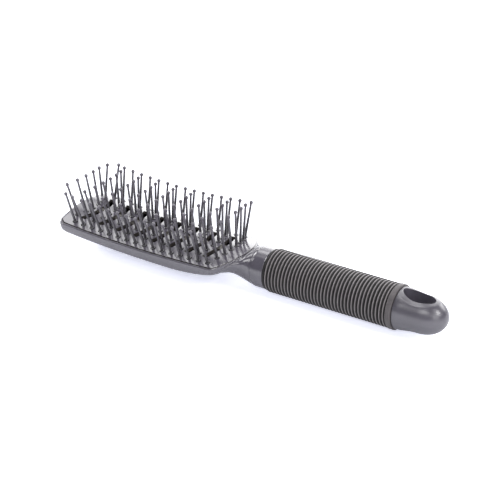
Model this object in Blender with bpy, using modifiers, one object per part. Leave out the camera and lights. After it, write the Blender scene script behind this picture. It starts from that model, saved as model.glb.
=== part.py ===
"""Vent brush: a curved head with 86 ball-tipped pins, a waisted neck, a ribbed rubber grip and a cap with a hang hole.

The brush lies on its back, pins up. X runs from the toe of the head (-) to the end cap (+), Y across the head and
+Z up through the pins. The origin is under the middle of the brush, on the surface that it lies on. Units are metres.
"""
import math

import bmesh
import bpy
from mathutils import Matrix, Vector

COLLECTION = "vent_brush"

# Places along the brush
TOE_X = -0.12345
HEAD_LENGTH = 0.1212
NECK_LENGTH = 0.0155
GRIP_LENGTH = 0.0821
CAP_LENGTH = 0.0278
AXIS_HEIGHT = 0.01295

# Fits between the pieces
GAP = 0.0003

# Head in plan
HEAD_HALF_WIDTH = 0.0242
TOE_CORNER = 0.0045
TOE_BOW = 0.0008
END_RADIUS = 0.0280
END_CORNER = 0.0024
RIM_WALL = 0.0009
LEDGE_WIDTH = 0.0015

# Head from the side: the face sags along its length and is crowned across its width
FACE_HEIGHT = 0.0180
SAG_X = TOE_X + 0.547 * HEAD_LENGTH
SAG_RADIUS = 0.746
CROWN_RADIUS = 0.083
RIM_PROUD = -0.0002
PLATE_THICKNESS = 0.0020

# Side of the head: a wall that is deep at the middle and thin at both ends, rounded out from the rim to its foot
WALL_FOOT = 0.0077
WALL_FOOT_X = TOE_X + 0.660 * HEAD_LENGTH
WALL_TOE_RADIUS = 0.900
WALL_NECK_RADIUS = 0.116
RIM_ROUND = 0.0005
WALL_TUCK = 0.0017

# Underside of the head: a rounded keel with a flat belly, lifting towards the toe and the neck
BELLY_X = TOE_X + 0.6056 * HEAD_LENGTH
BELLY_HALF_FLAT = 0.0120
BELLY_INSET = 0.0185
KEEL_TOE_RADIUS = 0.490
KEEL_NECK_RADIUS = 0.054
SHELL_DEPTH = 0.0019

# Pin field
COLUMNS = 9
COLUMN_PITCH = 0.102 * HEAD_LENGTH
LAST_COLUMN_X = TOE_X + 0.91 * HEAD_LENGTH
ROW_PITCH = 0.00544
INNER_ROWS = 6
SIDE_ROW_Y = 0.0195
TOE_BEND_RADIUS = 0.02674
NECK_BEND_RADIUS = 0.03788

# Pins: they lean towards the toe, and fan out by one degree more for each step away from the centre line
PIN_LENGTH = 0.0193
PIN_EXTRA = 0.0016
STEM_FOOT_RADIUS = 0.00070
STEM_TIP_RADIUS = 0.00050
BALL_RADIUS = 0.00095
COLLAR_RADIUS = 0.00135
COLLAR_PROUD = 0.0004
PIN_SIDES = 6
TOE_LEAN = math.radians(-10.4)
NECK_LEAN = math.radians(-2.9)
FAN_STEP = 0.0012

# Corner pins that stand straighter than their row: (column, y over the row pitch) and the change of lean
CORNER_LEAN = {
    (0.5, -3.6): math.radians(5.5),
    (0.5, 3.6): math.radians(6.0),
    (0, 2.5): math.radians(7.5),
    (8.0, 3.6): math.radians(3.7),
}

# Pin strips
STRIP_WIDTH = 0.0042
SIDE_STRIP_WIDTH = 0.0031
STRIP_THICKNESS = 0.0014
STRIP_END = 0.0020
PIN_ROOT = 0.0008
WEB_THICKNESS = 0.0018
WEB_BITE = 0.0010

# Vents
VENT_WIDTH = 0.0036
VENT_OFFSET = -0.0010
VENT_HALF_LENGTH = 0.0150
FLOOR_VENT_HALF_LENGTH = 0.0120
BRIDGE_HALF_WIDTH = 0.0030
BRIDGE_DROP = 0.0012

# Neck and handle core
COLLAR_LENGTH = 0.0080
NECK_COLLAR_RADIUS = 0.0119
NECK_STEP = 0.0003
CORE_RADIUS = 0.0104
CORE_BORE_RADIUS = 0.0084
CORE_CLOSED_LENGTH = 0.0040

# Grip sleeve
RIB_RADIUS = 0.01275
GROOVE_DEPTH = 0.00095
RIB_COUNT = 36
LIP_LENGTH = 0.0014
LIP_RADIUS = 0.0122
END_BAND_LENGTH = 0.0034
END_BAND_RADIUS = 0.01295
END_BAND_EDGE = 0.0005

# End cap
CAP_RADIUS = 0.0120
CAP_TAPER = 0.0009
CAP_NOSE_START = 0.0125
NOSE_FULLNESS = 0.95
SPIGOT_LENGTH = 0.0120
SPIGOT_LEAD = 0.0010
HANG_HOLE_LENGTH = 0.0192
HANG_HOLE_WIDTH = 0.0112
HANG_HOLE_MARGIN = 0.0010

# Facets of the round pieces, the same for all so that their walls stay parallel
ROUND_STEPS = 20

HEAD_END_X = TOE_X + HEAD_LENGTH
GRIP_START_X = HEAD_END_X + NECK_LENGTH
GRIP_END_X = GRIP_START_X + GRIP_LENGTH
CAP_START_X = GRIP_END_X + GAP
CORE_END_X = GRIP_END_X
SEAT_DROP = PLATE_THICKNESS + GAP
WEB_DROP = SEAT_DROP + STRIP_THICKNESS + GAP


for old in list(bpy.data.objects):
    bpy.data.objects.remove(old, do_unlink=True)

parts = bpy.data.collections.new(COLLECTION)
cutters = bpy.data.collections.new("cutters")
bpy.context.scene.collection.children.link(parts)
bpy.context.scene.collection.children.link(cutters)


def material(name, colour, roughness):
    """A dyed plastic or rubber: one colour, with its own gloss."""
    made = bpy.data.materials.new(name)
    made.use_nodes = True
    shader = made.node_tree.nodes["Principled BSDF"]
    shader.inputs["Base Color"].default_value = (*colour, 1.0)
    shader.inputs["Roughness"].default_value = roughness
    shader.inputs["Metallic"].default_value = 0.0
    return made


def as_object(name, bm, collection):
    """Closes a bmesh into a named object with its faces pointing outwards."""
    bmesh.ops.recalc_face_normals(bm, faces=bm.faces)
    mesh = bpy.data.meshes.new(name)
    bm.to_mesh(mesh)
    bm.free()
    made = bpy.data.objects.new(name, mesh)
    collection.objects.link(made)
    if collection is cutters:
        made.hide_render = True
        made.display_type = "WIRE"
    return made


def combine(target, tool, operation):
    """Adds a Boolean of the tool to the target."""
    step = target.modifiers.new(operation.lower() + "_" + tool.name, "BOOLEAN")
    step.operation = operation
    step.solver = "EXACT"
    step.object = tool


def finish(part, finish_material):
    """Gives a part its material and smooth shading with crisp edges."""
    part.data.materials.append(finish_material)
    part.data.shade_smooth()
    part.data.set_sharp_from_angle(angle=math.radians(35.0))


def baked(source):
    """The object's mesh with its modifiers applied; the object itself is removed."""
    evaluated = source.evaluated_get(bpy.context.evaluated_depsgraph_get())
    mesh = bpy.data.meshes.new_from_object(evaluated)
    bpy.data.objects.remove(source, do_unlink=True)
    return mesh


# The curved surfaces that all the head's pieces follow

def face_height(x, y):
    """Height of the head's face: sagging along the head, crowned across it."""
    return FACE_HEIGHT + (x - SAG_X) ** 2 / (2 * SAG_RADIUS) - y ** 2 / (2 * CROWN_RADIUS)


def keel_height(x):
    """Height of the underside's centre line: flat at the belly, lifting to toe and neck."""
    away = max(abs(x - BELLY_X) - BELLY_HALF_FLAT, 0.0)
    radius = KEEL_TOE_RADIUS if x < BELLY_X else KEEL_NECK_RADIUS
    return away ** 2 / (2 * radius)


def foot_height(x):
    """Height of the side wall's foot, lowest near the middle of the head."""
    radius = WALL_TOE_RADIUS if x < WALL_FOOT_X else WALL_NECK_RADIUS
    return WALL_FOOT + (x - WALL_FOOT_X) ** 2 / (2 * radius)


def outline(inset):
    """The head's outline in plan, moved inwards: a straight toe, straight sides and a bowed neck end.

    The first half runs along y < 0 from toe to neck, and the second half is its mirror image, backwards.
    """
    toe = TOE_X + inset
    half = HEAD_HALF_WIDTH - inset
    radius = max(END_RADIUS - inset, half)
    end = HEAD_END_X - inset
    toe_steps, side_steps, end_steps, corner_steps = 3, 8, 5, 3

    def toe_point(y):
        return Vector((toe + TOE_BOW * (y / half) ** 2, y))

    def end_point(y):
        return Vector((end - y ** 2 / (2 * radius), y))

    def rounded(start, corner, stop):
        steps = [k / corner_steps for k in range(corner_steps + 1)]
        return [start * (1 - t) ** 2 + corner * (2 * t * (1 - t)) + stop * t ** 2 for t in steps]

    straight = half - TOE_CORNER
    points = [toe_point(-straight * (k + 0.5) / toe_steps) for k in range(toe_steps)]
    toe_corner = toe_point(-half)
    points += rounded(toe_point(-straight), toe_corner, toe_corner + Vector((TOE_CORNER, 0.0)))
    neck_corner = end_point(-half)
    side_start = toe_corner.x + TOE_CORNER
    side_stop = neck_corner.x - END_CORNER
    for k in range(1, side_steps):
        points.append(Vector((side_start + (side_stop - side_start) * k / side_steps, -half)))
    arc_start = half - END_CORNER
    points += rounded(Vector((side_stop, -half)), neck_corner, end_point(-arc_start))
    points += [end_point(-arc_start * (1 - (k + 0.5) / end_steps)) for k in range(end_steps)]
    return points + [Vector((p.x, -p.y)) for p in reversed(points)]


def head_loft(name, loops, collection):
    """Skins loops of one outline and closes top and bottom with strips from side to side."""
    bm = bmesh.new()
    rings = [[bm.verts.new(p) for p in loop] for loop in loops]
    count = len(rings[0])
    for upper, lower in zip(rings, rings[1:]):
        for i in range(count):
            j = (i + 1) % count
            bm.faces.new((upper[i], upper[j], lower[j], lower[i]))
    for ring in (rings[0], rings[-1]):
        for i in range(count // 2 - 1):
            bm.faces.new((ring[i], ring[i + 1], ring[count - 2 - i], ring[count - 1 - i]))
    return as_object(name, bm, collection)


# The wall, as how far in from the outline and how far down from rim to foot
WALL = [
    (RIM_ROUND, 0.0),
    (0.2 * RIM_ROUND, 0.12),
    (0.0, 0.35),
    (0.3 * WALL_TUCK, 0.75),
    (WALL_TUCK, 1.0),
]

# The underside, as how far in from the outline and how high between keel and foot
UNDERSIDE = [
    (WALL_TUCK, 1.0),
    (0.20 * BELLY_INSET + WALL_TUCK, 0.73),
    (0.46 * BELLY_INSET + WALL_TUCK, 0.39),
    (0.71 * BELLY_INSET + WALL_TUCK, 0.13),
    (BELLY_INSET, 0.0),
]


def face_loop(inset, rise):
    return [Vector((p.x, p.y, face_height(p.x, p.y) + rise)) for p in outline(inset)]


def wall_loop(inset, share):
    loop = []
    for p in outline(inset):
        rim = face_height(p.x, p.y) + RIM_PROUD
        loop.append(Vector((p.x, p.y, rim + (foot_height(p.x) - rim) * share)))
    return loop


def under_loop(inset, share, rise):
    loop = []
    for p in outline(inset):
        keel = keel_height(p.x)
        loop.append(Vector((p.x, p.y, keel + (foot_height(p.x) - keel) * share + rise)))
    return loop


def under_share(inset):
    """How high the underside is between keel and foot, at a distance in from the outline."""
    for (near, high), (far, low) in zip(UNDERSIDE, UNDERSIDE[1:]):
        if near <= inset <= far:
            return high + (low - high) * (inset - near) / (far - near)
    return 1.0 if inset < WALL_TUCK else 0.0


def underside_height(x, y):
    """Height of the head's outer skin above a point in plan."""
    inset = min(HEAD_HALF_WIDTH - abs(y), x - TOE_X, HEAD_END_X - y ** 2 / (2 * END_RADIUS) - x)
    keel = keel_height(x)
    return keel + (foot_height(x) - keel) * under_share(inset)


# Where the pins stand: columns bow towards the handle, and every second one is a half column of the side rows

def column_x(column, y):
    """Place along the brush of a column (0 at the toe, halves allowed) at a distance y from the centre line."""
    share = column / (COLUMNS - 1)
    bend = (1 - share) / (2 * TOE_BEND_RADIUS) + share / (2 * NECK_BEND_RADIUS)
    return LAST_COLUMN_X - (COLUMNS - 1 - column) * COLUMN_PITCH - bend * y ** 2


def pin_frame(column, y):
    """Matrix of a pin: its foot on the face, its Z along the stem, leaning to the toe and fanned to the sides."""
    share = column / (COLUMNS - 1)
    row = round(y / ROW_PITCH, 1)
    lean = TOE_LEAN + (NECK_LEAN - TOE_LEAN) * share + CORNER_LEAN.get((column, row), 0.0)
    fan = math.radians(y / FAN_STEP)
    x = column_x(column, y)
    axis = Vector((math.tan(lean), math.tan(fan), 1.0)).normalized()
    turn = Vector((0.0, 0.0, 1.0)).rotation_difference(axis).to_matrix().to_4x4()
    return Matrix.Translation((x, y, face_height(x, y))) @ turn


def pin_length(column):
    """Pins are a little longer at the toe and the neck than in the middle of the head."""
    middle = (COLUMNS - 1) / 2
    return PIN_LENGTH + PIN_EXTRA * ((column - middle) / middle) ** 2


INNER_ROW_Y = [ROW_PITCH * (row - (INNER_ROWS - 1) / 2) for row in range(INNER_ROWS)]
CROSS_PINS = [[(column, y) for y in INNER_ROW_Y] for column in range(COLUMNS)]
SIDE_COLUMNS = [0.5 + 0.5 * k for k in range(2 * (COLUMNS - 1))]


def turned(name, profile, steps, axis, collection):
    """A profile of (radius, place along the axis) points turned about the axis."""
    bm = bmesh.new()
    along = Vector((0.0, 0.0, 1.0)) if axis == "Z" else Vector((1.0, 0.0, 0.0))
    out = Vector((1.0, 0.0, 0.0)) if axis == "Z" else Vector((0.0, 0.0, 1.0))
    verts = [bm.verts.new(along * place + out * radius) for radius, place in profile]
    for a, b in zip(verts, verts[1:]):
        bm.edges.new((a, b))
    mesh = bpy.data.meshes.new(name)
    bm.to_mesh(mesh)
    bm.free()
    made = bpy.data.objects.new(name, mesh)
    collection.objects.link(made)
    spin = made.modifiers.new("turn", "SCREW")
    spin.axis = axis
    spin.steps = steps
    spin.render_steps = steps
    spin.use_merge_vertices = True
    spin.merge_threshold = 0.00001
    spin.use_normal_calculate = True
    return made


def stamped(name, template, frames, collection, shift=None):
    """Copies of a template mesh, one at each frame, joined in one object; shift lengthens a copy."""
    bm = bmesh.new()
    for index, frame in enumerate(frames):
        before = len(bm.verts)
        bm.from_mesh(template)
        bm.verts.ensure_lookup_table()
        copy = bm.verts[before:]
        if shift is not None:
            for vert in copy:
                if vert.co.z > 2 * COLLAR_PROUD:
                    vert.co.z += shift[index]
        bmesh.ops.transform(bm, matrix=frame, verts=copy)
    return as_object(name, bm, collection)


# Materials

black_gloss = material("black_gloss_plastic", (0.045, 0.043, 0.048), 0.28)
black_satin = material("black_satin_plastic", (0.05, 0.048, 0.054), 0.38)
pin_nylon = material("pin_nylon", (0.05, 0.048, 0.055), 0.35)
grip_rubber = material("grip_rubber", (0.06, 0.056, 0.06), 0.62)


# Pin strips: six pins across the head on each of nine bowed bars, sixteen along each side

COLLAR_FOOT = -(PLATE_THICKNESS + GAP + PIN_ROOT)
pin_profile = [
    (0.0, COLLAR_FOOT),
    (COLLAR_RADIUS, COLLAR_FOOT),
    (COLLAR_RADIUS, COLLAR_PROUD),
    (STEM_FOOT_RADIUS, COLLAR_PROUD + 0.00005),
    (STEM_TIP_RADIUS, COLLAR_PROUD + PIN_LENGTH - 0.9 * BALL_RADIUS),
    (BALL_RADIUS, COLLAR_PROUD + PIN_LENGTH - 0.3 * BALL_RADIUS),
    (0.8 * BALL_RADIUS, COLLAR_PROUD + PIN_LENGTH + 0.5 * BALL_RADIUS),
    (0.0, COLLAR_PROUD + PIN_LENGTH + BALL_RADIUS),
]
pin_template = baked(turned("pin", pin_profile, PIN_SIDES, "Z", cutters))


def bar(name, rows):
    """A thin bar under the face plate, from pairs of edge points in plan, along its length."""
    bm = bmesh.new()
    pairs = [[bm.verts.new((p[0], p[1], face_height(p[0], p[1]) - SEAT_DROP)) for p in pair] for pair in rows]
    for a, b in zip(pairs, pairs[1:]):
        bm.faces.new((a[0], a[1], b[1], b[0]))
    made = as_object(name, bm, parts)
    if made.data.polygons[0].normal.z < 0:
        made.data.flip_normals()
    wall = made.modifiers.new("thickness", "SOLIDIFY")
    wall.thickness = STRIP_THICKNESS
    wall.offset = -1.0
    return made


def pin_strip(name, rows, pins):
    """A bar with its pins moulded on."""
    strip = bar(name, rows)
    frames = [pin_frame(column, y) for column, y in pins]
    extra = [pin_length(column) - PIN_LENGTH for column, y in pins]
    combine(strip, stamped(name + "_pins", pin_template, frames, cutters, extra), "UNION")
    finish(strip, pin_nylon)
    return strip


CROSS_REACH = INNER_ROW_Y[-1] + STRIP_END
CROSS_STATIONS = [CROSS_REACH * (k / 3 - 1) for k in range(7)]
for column in range(COLUMNS):
    edges = []
    for y in CROSS_STATIONS:
        middle = column_x(column, y)
        edges.append(((middle - STRIP_WIDTH / 2, y), (middle + STRIP_WIDTH / 2, y)))
    pin_strip("cross_pin_strip_%d" % (column + 1), edges, CROSS_PINS[column])

for side, label in ((-1, "near"), (1, "far")):
    y = side * SIDE_ROW_Y
    start = column_x(SIDE_COLUMNS[0], y) - STRIP_END
    stop = column_x(SIDE_COLUMNS[-1], y) + STRIP_END
    edges = []
    for k in range(9):
        x = start + (stop - start) * k / 8
        edges.append(((x, y - SIDE_STRIP_WIDTH / 2), (x, y + SIDE_STRIP_WIDTH / 2)))
    pin_strip("side_pin_strip_" + label, edges, [(column, y) for column in SIDE_COLUMNS])


# Vents: each half column has a bowed slot, crossed at the centre line by a low bridge

def bowed_slot(bm, column, y_from, y_to, width, low, high):
    """A bowed block along a column line, between two heights measured from the face."""
    steps = 3
    rings = []
    for k in range(steps + 1):
        y = y_from + (y_to - y_from) * k / steps
        middle = column_x(column, y) + VENT_OFFSET
        face = face_height(middle, y)
        rings.append([bm.verts.new((middle + dx * width / 2, y, face + dz))
                      for dx, dz in ((-1, low), (1, low), (1, high), (-1, high))])
    for a, b in zip(rings, rings[1:]):
        for i in range(4):
            j = (i + 1) % 4
            bm.faces.new((a[i], a[j], b[j], b[i]))
    bm.faces.new(rings[0])
    bm.faces.new(rings[-1])


VENT_COLUMNS = [k + 0.5 for k in range(COLUMNS - 1)]
THROUGH = 2 * PLATE_THICKNESS

windows = bmesh.new()
troughs = bmesh.new()
floor_windows = bmesh.new()
for column in VENT_COLUMNS:
    for side in (-1, 1):
        inner = side * BRIDGE_HALF_WIDTH
        bowed_slot(windows, column, inner, side * VENT_HALF_LENGTH, VENT_WIDTH, -PLATE_THICKNESS - THROUGH, THROUGH)
        bowed_slot(floor_windows, column, inner, side * FLOOR_VENT_HALF_LENGTH, VENT_WIDTH,
                   -FACE_HEIGHT - THROUGH, -WEB_DROP - THROUGH)
    bowed_slot(troughs, column, -BRIDGE_HALF_WIDTH - GAP, BRIDGE_HALF_WIDTH + GAP, VENT_WIDTH, -BRIDGE_DROP, THROUGH)


# Face plate: a thin crowned and sagging plate with the vents and a hole for each pin

def face_plate():
    bm = bmesh.new()
    bm.faces.new([bm.verts.new((p.x, p.y, 0.0)) for p in outline(RIM_WALL + GAP)])
    for k in range(COLUMNS):
        x = LAST_COLUMN_X + COLUMN_PITCH * (0.5 - k)
        everything = bm.verts[:] + bm.edges[:] + bm.faces[:]
        bmesh.ops.bisect_plane(bm, geom=everything, plane_co=(x, 0, 0), plane_no=(1, 0, 0), dist=1e-7)
    for k in range(-3, 4):
        everything = bm.verts[:] + bm.edges[:] + bm.faces[:]
        bmesh.ops.bisect_plane(bm, geom=everything, plane_co=(0, k * ROW_PITCH, 0), plane_no=(0, 1, 0), dist=1e-7)
    for vert in bm.verts:
        vert.co.z = face_height(vert.co.x, vert.co.y)
    plate = as_object("face_plate", bm, parts)
    if plate.data.polygons[0].normal.z < 0:
        plate.data.flip_normals()
    wall = plate.modifiers.new("thickness", "SOLIDIFY")
    wall.thickness = PLATE_THICKNESS
    wall.offset = -1.0
    return plate


plate = face_plate()
combine(plate, as_object("vent_windows", windows, cutters), "DIFFERENCE")
combine(plate, as_object("vent_troughs", troughs, cutters), "DIFFERENCE")
hole_profile = [
    (0.0, -2 * PLATE_THICKNESS),
    (COLLAR_RADIUS + GAP, -2 * PLATE_THICKNESS),
    (COLLAR_RADIUS + GAP, PLATE_THICKNESS),
    (0.0, PLATE_THICKNESS),
]
hole_template = baked(turned("hole", hole_profile, PIN_SIDES, "Z", cutters))
all_pins = [pin for pins in CROSS_PINS for pin in pins]
all_pins += [(column, side * SIDE_ROW_Y) for side in (-1, 1) for column in SIDE_COLUMNS]
pin_holes = stamped("pin_holes", hole_template, [pin_frame(column, y) for column, y in all_pins], cutters)
combine(plate, pin_holes, "DIFFERENCE")
finish(plate, black_gloss)


# Body: the head's shell with its webs, the neck, and the tube inside the grip, in one moulding

head_skin = [wall_loop(inset, share) for inset, share in WALL]
head_skin += [under_loop(inset, share, 0.0) for inset, share in UNDERSIDE[1:]]
body = head_loft("body", head_skin, parts)


def ring_loft(name, sections, collection):
    """Skins rings that stand square to the brush: (x, half width, top, widest, bottom, roundness) of each.

    A roundness of 2 makes the lower half an ellipse, and less than 2 sharpens it towards a keel.
    """
    bm = bmesh.new()
    rings = []
    for x, half, top, widest, bottom, roundness in sections:
        ring = []
        for k in range(ROUND_STEPS):
            angle = 2 * math.pi * k / ROUND_STEPS
            across, up = math.cos(angle), math.sin(angle)
            if k % (ROUND_STEPS // 2) == 0:
                up = 0.0
            if up < 0:
                across = math.copysign(abs(across) ** (2 / roundness), across)
                up = -abs(up) ** (2 / roundness)
            reach = top - widest if up > 0 else widest - bottom
            ring.append(bm.verts.new((x, half * across, widest + reach * up)))
        rings.append(ring)
    for a, b in zip(rings, rings[1:]):
        for i in range(ROUND_STEPS):
            j = (i + 1) % ROUND_STEPS
            bm.faces.new((a[i], a[j], b[j], b[i]))
    bm.faces.new(rings[0])
    bm.faces.new(rings[-1])
    return as_object(name, bm, collection)


def tube_section(x, radius):
    return (x, radius, AXIS_HEIGHT + radius, AXIS_HEIGHT, AXIS_HEIGHT - radius, 2.0)


def neck_sections():
    """From inside the head's shell, flaring in under its end, up a soft shoulder, to the round collar."""
    collar_x = GRIP_START_X - GAP - COLLAR_LENGTH
    flank = NECK_COLLAR_RADIUS - NECK_STEP
    face = face_height(HEAD_END_X, 0.0)
    keel = AXIS_HEIGHT - flank
    step = (collar_x - HEAD_END_X) / 2.6
    end = HEAD_END_X
    wide = HEAD_HALF_WIDTH
    return [
        (end - 9.0 * step, 0.62 * wide, face - 0.52 * flank, face - 0.86 * flank, keel + 0.28 * flank, 1.3),
        (end - 5.6 * step, 0.84 * wide, face - 0.36 * flank, face - 0.50 * flank, keel + 0.30 * flank, 1.2),
        (end - 3.0 * step, 0.83 * wide, face - 0.24 * flank, face - 0.36 * flank, keel + 0.33 * flank, 1.2),
        (end - 1.0 * step, 0.60 * wide, face - 0.06 * flank, face - 0.31 * flank, keel + 0.17 * flank, 1.4),
        (end, 0.54 * wide, face + 0.02 * flank, face - 0.40 * flank, keel + 0.11 * flank, 1.6),
        (end + 1.0 * step, 0.5 * flank + 0.25 * wide, face + 0.17 * flank, AXIS_HEIGHT + 0.05 * flank,
         keel + 0.05 * flank, 1.85),
        (end + 1.85 * step, flank, AXIS_HEIGHT + 0.93 * flank, AXIS_HEIGHT, keel + 0.02 * flank, 2.0),
        (collar_x - NECK_STEP, flank, AXIS_HEIGHT + flank, AXIS_HEIGHT, keel, 2.0),
        tube_section(collar_x, NECK_COLLAR_RADIUS),
        tube_section(GRIP_START_X - GAP, NECK_COLLAR_RADIUS),
    ]


neck = ring_loft("neck", neck_sections(), cutters)
core = ring_loft("core", [tube_section(GRIP_START_X - COLLAR_LENGTH / 2, CORE_RADIUS),
                          tube_section(CORE_END_X, CORE_RADIUS)], cutters)
bore = ring_loft("core_bore", [tube_section(GRIP_START_X + CORE_CLOSED_LENGTH, CORE_BORE_RADIUS),
                               tube_section(CORE_END_X + THROUGH, CORE_BORE_RADIUS)], cutters)

pocket_edge = RIM_WALL + LEDGE_WIDTH
pocket = head_loft("head_pocket", [
    face_loop(RIM_WALL, THROUGH),
    face_loop(RIM_WALL, -SEAT_DROP),
    face_loop(pocket_edge, -SEAT_DROP),
    under_loop(WALL_TUCK + SHELL_DEPTH, under_share(WALL_TUCK + SHELL_DEPTH), SHELL_DEPTH),
    under_loop(UNDERSIDE[2][0], UNDERSIDE[2][1], SHELL_DEPTH),
    under_loop(UNDERSIDE[3][0], UNDERSIDE[3][1], SHELL_DEPTH),
    under_loop(BELLY_INSET, 0.0, SHELL_DEPTH),
], cutters)


def web_wall():
    """The bowed webs inside the shell, one under each cross strip, from the floor to just under the strip."""
    bm = bmesh.new()
    for column in range(COLUMNS):
        reach = HEAD_HALF_WIDTH - WALL_TUCK - WEB_BITE
        if column == 0:
            reach = CROSS_REACH
        stations = [reach * (k / 3 - 1) for k in range(7)]
        rings = []
        for y in stations:
            middle = column_x(column, y)
            top = face_height(middle, y) - WEB_DROP
            foot = underside_height(middle, y) + WEB_BITE
            rings.append([bm.verts.new((middle + dx * WEB_THICKNESS / 2, y, z))
                          for dx, z in ((-1, foot), (1, foot), (1, top), (-1, top))])
        for a, b in zip(rings, rings[1:]):
            for i in range(4):
                j = (i + 1) % 4
                bm.faces.new((a[i], a[j], b[j], b[i]))
        bm.faces.new(rings[0])
        bm.faces.new(rings[-1])
    return as_object("webs", bm, cutters)


combine(body, neck, "UNION")
combine(body, pocket, "DIFFERENCE")
combine(body, web_wall(), "UNION")
combine(body, core, "UNION")
combine(body, bore, "DIFFERENCE")
combine(body, as_object("floor_windows", floor_windows, cutters), "DIFFERENCE")
finish(body, black_gloss)


# Grip sleeve: a rubber tube with close ribs, a plain lip at the neck and a plain raised band at the cap

def sleeve_profile():
    sleeve_bore = CORE_RADIUS + GAP
    rib_start = GRIP_START_X + LIP_LENGTH
    rib_stop = GRIP_END_X - GAP - END_BAND_LENGTH
    pitch = (rib_stop - rib_start) / RIB_COUNT
    groove = RIB_RADIUS - GROOVE_DEPTH
    points = [(sleeve_bore, GRIP_START_X), (LIP_RADIUS, GRIP_START_X), (LIP_RADIUS, rib_start - 0.3 * pitch)]
    for rib in range(RIB_COUNT):
        points.append((groove, rib_start + rib * pitch))
        points.append((RIB_RADIUS, rib_start + (rib + 0.5) * pitch))
    points.append((groove, rib_stop))
    points.append((END_BAND_RADIUS, rib_stop + END_BAND_EDGE))
    points.append((END_BAND_RADIUS, GRIP_END_X - GAP - END_BAND_EDGE))
    points.append((END_BAND_RADIUS - END_BAND_EDGE, GRIP_END_X - GAP))
    points.append((sleeve_bore, GRIP_END_X - GAP))
    points.append(points[0])
    return points


sleeve = turned("grip_sleeve", sleeve_profile(), ROUND_STEPS, "X", parts)
sleeve.location.z = AXIS_HEIGHT
finish(sleeve, grip_rubber)


# End cap: a smooth bullet with a spigot in the handle's bore and an oval hang hole through it

def cap_profile():
    spigot = CORE_BORE_RADIUS - GAP
    root = CAP_START_X - SPIGOT_LENGTH
    shoulder = CAP_START_X + CAP_NOSE_START
    nose = CAP_LENGTH - CAP_NOSE_START
    widest = CAP_RADIUS - CAP_TAPER
    points = [(0.0, root), (spigot - SPIGOT_LEAD, root), (spigot, root + SPIGOT_LEAD), (spigot, CAP_START_X)]
    points.append((CAP_RADIUS - GAP, CAP_START_X))
    points.append((CAP_RADIUS, CAP_START_X + GAP))
    points.append((CAP_RADIUS - 0.55 * CAP_TAPER, CAP_START_X + 0.5 * CAP_NOSE_START))
    nose_steps = 8
    for k in range(nose_steps):
        angle = math.pi / 2 * k / nose_steps
        points.append((widest * math.cos(angle) ** NOSE_FULLNESS, shoulder + nose * math.sin(angle)))
    points.append((0.0, shoulder + nose))
    return points


cap = turned("end_cap", cap_profile(), ROUND_STEPS, "X", parts)
cap.location.z = AXIS_HEIGHT
hole_centre = CAP_START_X + HANG_HOLE_MARGIN + HANG_HOLE_LENGTH / 2
bm = bmesh.new()
bmesh.ops.create_cone(bm, cap_ends=True, segments=ROUND_STEPS, radius1=0.5, radius2=0.5, depth=1.0)
bmesh.ops.scale(bm, vec=(HANG_HOLE_LENGTH, HANG_HOLE_WIDTH, 4 * CAP_RADIUS), verts=bm.verts)
bmesh.ops.translate(bm, vec=(hole_centre, 0.0, AXIS_HEIGHT), verts=bm.verts)
combine(cap, as_object("hang_hole", bm, cutters), "DIFFERENCE")
finish(cap, black_satin)
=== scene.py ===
"""A pinned vent brush on its back: graphite plastic head, neck and cap, nylon pins and a ribbed rubber grip."""

import math

import bmesh
import bpy
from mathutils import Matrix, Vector


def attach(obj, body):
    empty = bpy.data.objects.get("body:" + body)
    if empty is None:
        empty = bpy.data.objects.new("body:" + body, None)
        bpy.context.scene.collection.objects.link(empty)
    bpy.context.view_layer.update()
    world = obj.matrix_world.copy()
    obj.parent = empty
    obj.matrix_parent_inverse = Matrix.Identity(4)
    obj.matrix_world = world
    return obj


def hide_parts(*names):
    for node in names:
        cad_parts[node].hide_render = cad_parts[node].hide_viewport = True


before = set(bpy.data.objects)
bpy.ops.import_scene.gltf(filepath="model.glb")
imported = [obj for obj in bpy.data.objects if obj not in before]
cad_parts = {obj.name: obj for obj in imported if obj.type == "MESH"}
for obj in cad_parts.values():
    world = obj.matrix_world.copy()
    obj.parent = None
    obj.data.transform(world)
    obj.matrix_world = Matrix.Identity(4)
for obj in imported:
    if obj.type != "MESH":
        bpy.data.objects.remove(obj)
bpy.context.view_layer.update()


# The camera.
# It looks down on the brush from the side of the handle, with a long lens, as the photograph does.

view_azimuth = math.radians(32.84)
view_elevation = math.radians(26.98)
view_distance = 0.9692
looked_at = Vector((-0.0107, 0.01317, 0.01303))

camera_back = Vector((math.sin(view_azimuth) * math.cos(view_elevation),
                      -math.cos(view_azimuth) * math.cos(view_elevation),
                      math.sin(view_elevation)))
camera = bpy.data.objects.new("camera", bpy.data.cameras.new("camera"))
camera.data.sensor_width = 36.0
camera.data.lens = 120.55
camera.data.clip_end = 20.0
camera.location = looked_at + camera_back * view_distance
camera.rotation_euler = camera_back.to_track_quat("Z", "Y").to_euler()
bpy.context.scene.collection.objects.link(camera)
bpy.context.scene.camera = camera


# The body.
# One moulding of gloss graphite plastic: the head's back shell, the flared neck, its round collar and the tube
# inside the grip. Bowed webs stand in the shell under the pins, and its back has a vent between each two of them.

# The head's outline from above.
HEAD_HALF_WIDTH = 0.0242
TOE_X = -0.12345
TOE_CORNER = 0.0045
TOE_BOW = 0.0008
HEAD_END_X = -0.00225
END_RADIUS = 0.0280
END_CORNER = 0.0024

# Its face, which sags along and is crowned across, and its rim.
FACE_HEIGHT = 0.0180
SAG_X = -0.05715
SAG_RADIUS = 0.746
CROWN_RADIUS = 0.083
RIM_WALL = 0.0009
RIM_DROP = 0.00035

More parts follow.
